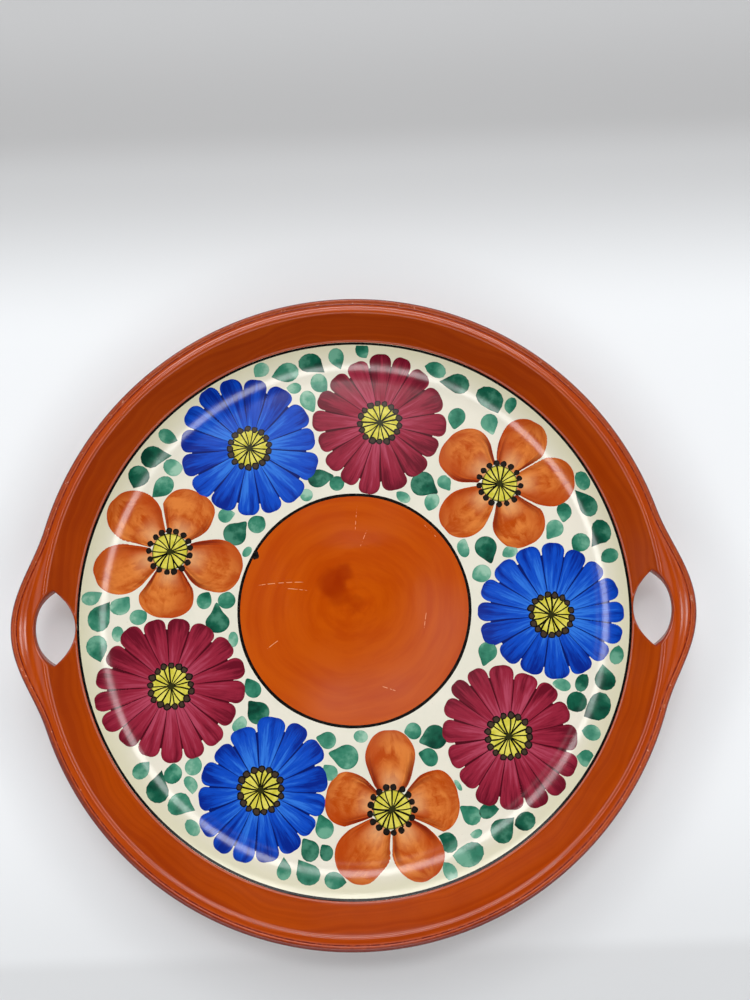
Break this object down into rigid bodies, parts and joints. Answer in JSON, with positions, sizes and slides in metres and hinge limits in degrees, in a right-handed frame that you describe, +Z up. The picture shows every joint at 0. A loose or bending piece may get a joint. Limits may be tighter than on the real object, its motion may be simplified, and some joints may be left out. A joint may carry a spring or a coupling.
{
  "type": "handled serving plate",
  "caption": "Round glazed earthenware serving plate with a raised rim, two pierced lug handles and a painted wreath of flowers and leaves.",
  "frame": {"origin": "centre of the foot ring where it rests on the table", "axes": "+Z up, +X towards the right handle, -Y towards the front, the side both handles lean to"},
  "size_m": [0.2798, 0.2646, 0.0239],
  "materials": {
    "glaze_ivory": "gloss",
    "enamel_orange": "gloss",
    "line_black": "gloss",
    "line_red": "gloss",
    "petal_blue": "gloss",
    "petal_crimson": "gloss",
    "petal_orange": "gloss",
    "eye_yellow": "gloss",
    "stamen_olive": "gloss",
    "anther_black": "gloss",
    "leaf_dark": "gloss",
    "leaf_mid": "gloss",
    "leaf_light": "gloss"
  },
  "bodies": {
    "root": {"floor_disc": "glaze_ivory", "foot_ring": "glaze_ivory", "rim_wall": "enamel_orange", "handle_right": "enamel_orange", "handle_left": "enamel_orange", "ground_glaze": "glaze_ivory", "centre_enamel": "enamel_orange", "centre_line": "line_black", "border_line": "line_black", "edge_line": "line_red", "blue_flower_1": "petal_blue", "blue_flower_2": "petal_blue", "blue_flower_3": "petal_blue", "crimson_flower_1": "petal_crimson", "crimson_flower_2": "petal_crimson", "crimson_flower_3": "petal_crimson", "orange_flower_1": "petal_orange", "orange_flower_2": "petal_orange", "orange_flower_3": "petal_orange", "flower_eyes": "eye_yellow", "stamen_lines": "stamen_olive", "anther_dots": "anther_black", "leaves_dark": "leaf_dark", "leaves_mid": "leaf_mid", "leaves_light": "leaf_light"}
  },
  "joints": []
}
